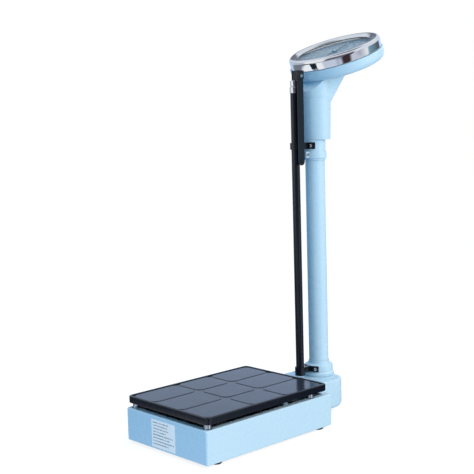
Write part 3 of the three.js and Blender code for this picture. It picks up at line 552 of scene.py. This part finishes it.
def add_graduations(name, tube, ferrule, body, first, last, start):
    """Ticks and numbers up one sliding tube, so that the reading stands at the ferrule's top edge."""
    low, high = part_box(tube)
    axis = (low + high) / 2
    radius = (high.x - low.x) / 2
    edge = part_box(ferrule)[1].z
    marks = bmesh.new()
    for centimetres in range(first, last + 1):
        z = edge - (centimetres / 100 - start)
        if not low.z + FREE_FOOT < z < high.z - FREE_TOP:
            continue
        width = next(size for step, size in ROD_TICKS if centimetres % step == 0)
        middle = Vector((axis.x, axis.y, z))
        place = frame_at(middle + READING_SIDE * radius, READING_ACROSS, READING_SIDE)
        add_bar(marks, place, (width * MILLIMETRE, ROD_TICK_HEIGHT, ROD_TICK_DEPTH))
        if centimetres % 10 == 0:
            add_number(marks, str(centimetres), place @ OVER_TICK, ROD_NUMBER_HEIGHT)
    add_piece(name, finished(marks, name), "white_ink", body)


def add_rod_marks():
    pivot = Vector(JOINTS["arm_swing"]["pos_m"])
    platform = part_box("platform_mat")[1].z
    closed = pivot.z - ARM_HALF_WIDTH - platform
    slide = JOINTS["rod_middle_slide"]["range_m"][1]
    end = closed + slide
    add_graduations("middle_tube_marks", "rod_middle_tube", "outer_ferrule", "rod_middle",
                    math.ceil(closed * 100), math.floor(end * 100), closed)
    add_graduations("inner_tube_marks", "rod_inner_tube", "middle_ferrule", "rod_inner",
                    math.ceil(end * 100), math.floor((end + slide) * 100), end)


SPRING_TURNS = 16
SPRING_STEPS = 20           # steps in one turn
WIRE_RADIUS = 1.1 * MILLIMETRE
WIRE_SIDES = 10


def spring_mesh(name, low, high):
    """A close wire helix with a flat dead turn at each end."""
    middle = (low + high) / 2
    radius = (high.x - low.x) / 2 - WIRE_RADIUS
    climb = high.z - low.z - 2 * WIRE_RADIUS
    wire = [circle_point(WIRE_RADIUS, math.tau * j / WIRE_SIDES) for j in range(WIRE_SIDES)]
    spring = bmesh.new()
    count = SPRING_TURNS * SPRING_STEPS
    rows = []
    for i in range(count + 1):
        angle = math.tau * i / SPRING_STEPS
        share = min(max((i - SPRING_STEPS) / (count - 2 * SPRING_STEPS), 0), 1)
        z = low.z + WIRE_RADIUS + climb * share
        hub = Vector((middle.x, middle.y, 0)) + circle_point(radius, angle, z)
        outward = circle_point(1, angle)
        rows.append([spring.verts.new(hub + outward * point.x + UP * point.y) for point in wire])
    for row, following in zip(rows, rows[1:]):
        for j in range(WIRE_SIDES):
            k = (j + 1) % WIRE_SIDES
            spring.faces.new((row[j], row[k], following[k], following[j]))
    spring.faces.new(rows[0])
    spring.faces.new(list(reversed(rows[-1])))
    return finished(spring, name)


def add_springs():
    """Finer springs in place of the coarse ones."""
    for side in ("left", "right"):
        node = f"main_spring_{side}"
        low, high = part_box(node)
        mesh = spring_mesh(f"fine_spring_{side}", low, high)
        made = placed(mesh.name, mesh)
        mesh.materials.append(MATERIALS["steel"])
        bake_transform(made)
        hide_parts(node)
        made.modifiers.new("smooth", "NODES").node_group = SMOOTH


def add_details():
    add_dial_print()
    add_pointer_cap()
    add_label_print()
    add_screw_crosses()
    add_rod_marks()
    add_springs()


add_details()


# ---------------------------------------------------------------- camera
CAMERA_PLACE = Vector((1.606, -1.6203, 0.691))
CAMERA_AZIMUTH, CAMERA_PITCH, CAMERA_ROLL = (math.radians(a) for a in (46.96, 6.08, -1.61))
CAMERA_LENS, CAMERA_SENSOR = 73.18, 36      # millimetres
CAMERA_REACH = 100


def make_camera():
    camera = placed("camera", bpy.data.cameras.new("camera"))
    camera.data.lens = CAMERA_LENS
    camera.data.sensor_width = CAMERA_SENSOR
    camera.data.clip_end = CAMERA_REACH
    around = Matrix.Rotation(CAMERA_AZIMUTH, 4, "Z")
    pitched = Matrix.Rotation(math.pi / 2 - CAMERA_PITCH, 4, "X")
    rolled = Matrix.Rotation(CAMERA_ROLL, 4, "Z")
    camera.matrix_world = Matrix.Translation(CAMERA_PLACE) @ (around @ pitched @ rolled)
    bpy.context.scene.camera = camera


make_camera()


# ---------------------------------------------------------------- studio
def white_light(name):
    """A material that shines white, at a strength of 1."""
    material = bpy.data.materials.new(name)
    material.use_nodes = True
    nodes, links = material.node_tree.nodes, material.node_tree.links
    nodes.clear()
    light = nodes.new("ShaderNodeEmission")
    light.inputs["Color"].default_value = (1, 1, 1, 1)
    light.inputs["Strength"].default_value = 1.0
    output = nodes.new("ShaderNodeOutputMaterial")
    links.new(light.outputs["Emission"], output.inputs["Surface"])
    return material


def hide_from_light(obj):
    """The camera sees it, but it neither lights the object nor shows in its reflections."""
    obj.visible_diffuse = False
    obj.visible_glossy = False
    obj.visible_transmission = False
    obj.visible_volume_scatter = False


FLOOR_HALF = 12             # metres
FLOOR_GLOW = 0.86
BACKDROP_RADIUS = 11.5
ROOM_RADIUS = 9.5


def make_floor():
    mesh = bpy.data.meshes.new("floor")
    corners = [(-FLOOR_HALF, -FLOOR_HALF, 0), (FLOOR_HALF, -FLOOR_HALF, 0),
               (FLOOR_HALF, FLOOR_HALF, 0), (-FLOOR_HALF, FLOOR_HALF, 0)]
    mesh.from_pydata(corners, [], [(0, 1, 2, 3)])
    floor = placed("floor", mesh)
    floor.location.z = CAD_BOX[0].z
    tree = Tree("floor_paint")
    tree.colour_between(tree.noise(3, detail=3), (0.24, 0.24, 0.245), (0.26, 0.26, 0.265))
    tree.set(Roughness=0.9, Specular_IOR_Level=0.0, Emission_Strength=FLOOR_GLOW,
             Emission_Color=(1, 1, 1, 1))
    mesh.materials.append(tree.material)
    hide_from_light(floor)


def make_shell(name, radius, material):
    """A sphere round the whole studio."""
    mesh = bpy.data.meshes.new(name)
    shell = bmesh.new()
    bmesh.ops.create_uvsphere(shell, u_segments=48, v_segments=24, radius=radius)
    shell.to_mesh(mesh)
    shell.free()
    mesh.materials.append(material)
    return placed(name, mesh)


def make_backdrop():
    dome = make_shell("backdrop", BACKDROP_RADIUS, white_light("backdrop_white"))
    dome.visible_shadow = False
    hide_from_light(dome)


# What polished metal and gloss paint mirror: light cards and dark gaps round the horizon. Each band starts
# at an elevation; its stops are an azimuth in degrees from +X toward +Y and a colour.
ROOM_BANDS = [
    (-90, [
        (-180, (0.55, 0.62, 0.70)), (-162, (0.20, 0.22, 0.28)), (-154, (0.95, 0.97, 1.0)),
        (-86, (1.0, 1.0, 1.0)), (-80, (0.66, 0.70, 0.80)), (-48, (0.62, 0.68, 0.80)),
        (-40, (0.44, 0.48, 0.58)), (-33, (0.62, 0.68, 0.80)), (-27, (0.06, 0.035, 0.04)),
        (-10, (0.06, 0.035, 0.04)), (-4, (0.80, 0.82, 0.88)), (38, (0.60, 0.63, 0.70)),
        (44, (0.06, 0.10, 0.18)), (92, (0.08, 0.11, 0.18)), (96, (0.60, 0.68, 0.78)),
        (180, (0.55, 0.62, 0.70)),
    ]),
    (-18, [
        (-180, (0.20, 0.22, 0.26)), (-146, (0.20, 0.22, 0.26)), (-142, (0.03, 0.03, 0.05)),
        (-116, (0.03, 0.03, 0.05)), (-110, (0.40, 0.42, 0.48)), (-33, (0.36, 0.40, 0.48)),
        (-27, (0.05, 0.03, 0.035)), (-10, (0.05, 0.03, 0.035)), (-4, (0.62, 0.64, 0.72)),
        (34, (0.56, 0.60, 0.68)), (40, (0.01, 0.02, 0.05)), (92, (0.01, 0.02, 0.05)),
        (96, (0.30, 0.34, 0.40)), (180, (0.20, 0.22, 0.26)),
    ]),
    (-3, [
        (-180, (0.55, 0.62, 0.70)), (-140, (0.45, 0.50, 0.56)), (-128, (1.0, 1.0, 1.0)),
        (-82, (1.0, 1.0, 1.0)), (-76, (0.12, 0.11, 0.14)), (-30, (0.10, 0.09, 0.12)),
        (-26, (0.05, 0.03, 0.035)), (-6, (0.05, 0.03, 0.035)), (-2, (0.60, 0.62, 0.70)),
        (16, (0.45, 0.47, 0.56)), (38, (0.95, 0.95, 0.95)), (44, (0.20, 0.36, 0.45)),
        (80, (0.10, 0.11, 0.14)), (92, (0.12, 0.13, 0.16)), (96, (0.66, 0.86, 1.25)),
        (180, (0.55, 0.64, 0.78)),
    ]),
    (22, [
        (-180, (0.70, 0.76, 0.84)), (-140, (0.74, 0.78, 0.84)), (-128, (1.0, 1.0, 1.0)),
        (-82, (1.0, 1.0, 1.0)), (-76, (0.30, 0.30, 0.34)), (-10, (0.30, 0.30, 0.34)),
        (-2, (0.80, 0.82, 0.88)), (122, (0.74, 0.78, 0.84)), (128, (0.18, 0.20, 0.25)),
        (147, (0.18, 0.20, 0.25)), (153, (0.70, 0.76, 0.84)), (180, (0.70, 0.76, 0.84)),
    ]),
    (42, [(-180, (0.80, 0.84, 0.90)), (180, (0.80, 0.84, 0.90))]),
]
BAND_BLEND = 2.0            # half the height in degrees over which one band turns into the next
# The share of its light that the room keeps at an elevation, from straight down to straight up.
ROOM_CEILING = [(-90, 1.0), (68, 0.9), (78, 0.15), (90, 0.1)]
# The mix node's sockets for vectors.
MIX_SHARE, MIX_LOWER, MIX_UPPER, MIX_RESULT = 0, 4, 5, 1


def add_math(tree, operation, *values):
    made = tree.nodes.new("ShaderNodeMath")
    made.operation = operation
    for value, socket in zip(values, made.inputs):
        tree.links.new(value, socket)
    return made.outputs["Value"]


def room_angles(tree):
    """The azimuth and the elevation of a place on the room's wall, in radians."""
    place = tree.nodes.new("ShaderNodeTexCoord")
    along = tree.nodes.new("ShaderNodeVectorMath")
    along.operation = "NORMALIZE"
    tree.links.new(place.outputs["Object"], along.inputs[0])
    parts = tree.nodes.new("ShaderNodeSeparateXYZ")
    tree.links.new(along.outputs["Vector"], parts.inputs["Vector"])
    azimuth = add_math(tree, "ARCTAN2", parts.outputs["Y"], parts.outputs["X"])
    elevation = add_math(tree, "ARCSINE", parts.outputs["Z"])
    return azimuth, elevation


def angle_ramp(tree, angle, limit, stops):
    """A colour ramp over an angle between the limit's two signs, with its stops in degrees."""
    positions = [((math.radians(degrees) / limit + 1) / 2, colour) for degrees, colour in stops]
    return colour_ramp(tree, map_range(tree, angle, (-limit, limit)), positions)


def room_cards(tree, azimuth, elevation):
    """The bands, each turning into the next one up."""
    colour = angle_ramp(tree, azimuth, math.pi, ROOM_BANDS[0][1])
    for start, stops in ROOM_BANDS[1:]:
        band = tree.nodes.new("ShaderNodeMix")
        band.data_type = "VECTOR"
        edges = [math.radians(start + side * BAND_BLEND) for side in (-1, 1)]
        tree.links.new(map_range(tree, elevation, edges), band.inputs[MIX_SHARE])
        tree.links.new(colour, band.inputs[MIX_LOWER])
        tree.links.new(angle_ramp(tree, azimuth, math.pi, stops), band.inputs[MIX_UPPER])
        colour = band.outputs[MIX_RESULT]
    return colour


def room_light():
    """The bands, dimmed toward the top of the room."""
    material = white_light("room_light")
    tree = material.node_tree
    azimuth, elevation = room_angles(tree)
    dimmed = tree.nodes.new("ShaderNodeVectorMath")
    dimmed.operation = "MULTIPLY"
    tree.links.new(room_cards(tree, azimuth, elevation), dimmed.inputs[0])
    shares = [(degrees, (share,) * 3) for degrees, share in ROOM_CEILING]
    tree.links.new(angle_ramp(tree, elevation, math.pi / 2, shares), dimmed.inputs[1])
    light = next(n for n in tree.nodes if n.type == "EMISSION")
    tree.links.new(dimmed.outputs["Vector"], light.inputs["Color"])
    return material


def make_reflection_room():
    """A round room that only mirror rays see, made of light cards and dark gaps."""
    room = make_shell("reflection_room", ROOM_RADIUS, room_light())
    room.visible_camera = False
    room.visible_diffuse = False
    room.visible_transmission = False
    room.visible_volume_scatter = False
    room.visible_shadow = False


# The light from all round: bright toward this direction, and a dim blue on the opposite side.
BRIGHT_SIDE = Vector((0.85, 0.5, 0.35)).normalized()
WORLD_STOPS = [
    (0.0, (0.0, 0.16, 0.40)), (0.3, (0.0, 0.38, 0.68)), (0.5, (0.34, 0.70, 1.0)),
    (0.72, (1, 1, 1)), (1.0, (1.15, 1.15, 1.15)),
]
WORLD_STRENGTH = 0.9


def make_world():
    world = bpy.data.worlds.new("studio")
    bpy.context.scene.world = world
    world.use_nodes = True
    tree = world.node_tree
    background = next(n for n in tree.nodes if n.type == "BACKGROUND")
    place = tree.nodes.new("ShaderNodeTexCoord")
    toward = tree.nodes.new("ShaderNodeVectorMath")
    toward.operation = "DOT_PRODUCT"
    toward.inputs[1].default_value = BRIGHT_SIDE
    tree.links.new(place.outputs["Generated"], toward.inputs[0])
    share = map_range(tree, toward.outputs["Value"], (-1, 1))
    tree.links.new(colour_ramp(tree, share, WORLD_STOPS), background.inputs["Color"])
    background.inputs["Strength"].default_value = WORLD_STRENGTH


MIDDLE = (CAD_BOX[0] + CAD_BOX[1]) / 2
FRONT_FOOT = (0, CAD_BOX[0].y, 0.06)
# Name, place, aim, width and height in metres, power in watts, colour.
LAMPS = [
    ("key_right", (2.6, 0.9, 1.5), MIDDLE, (1.4, 2.0), 38, (1, 1, 1)),
    ("top_fill", (0.2, 0.1, 2.9), MIDDLE, (1.6, 1.6), 12, (1, 1, 1)),
    ("front_fill", (0.25, -1.4, 0.14), FRONT_FOOT, (1.2, 0.3), 5.4, (0.95, 0.88, 0.88)),
]


def softbox(name, place, aim, size, power, colour):
    light = bpy.data.lights.new(name, "AREA")
    light.shape = "RECTANGLE"
    light.size, light.size_y = size
    light.energy = power
    light.color = colour
    lamp = placed(name, light)
    lamp.location = place
    lamp.rotation_euler = (Vector(aim) - Vector(place)).to_track_quat("-Z", "Y").to_euler()
    # Mirror rays see the cards of the reflection room instead.
    lamp.visible_glossy = False


def make_studio():
    make_floor()
    make_backdrop()
    make_reflection_room()
    make_world()
    for lamp in LAMPS:
        softbox(*lamp)
    settings = bpy.context.scene.view_settings
    settings.view_transform = "Standard"
    settings.look = "None"


make_studio()
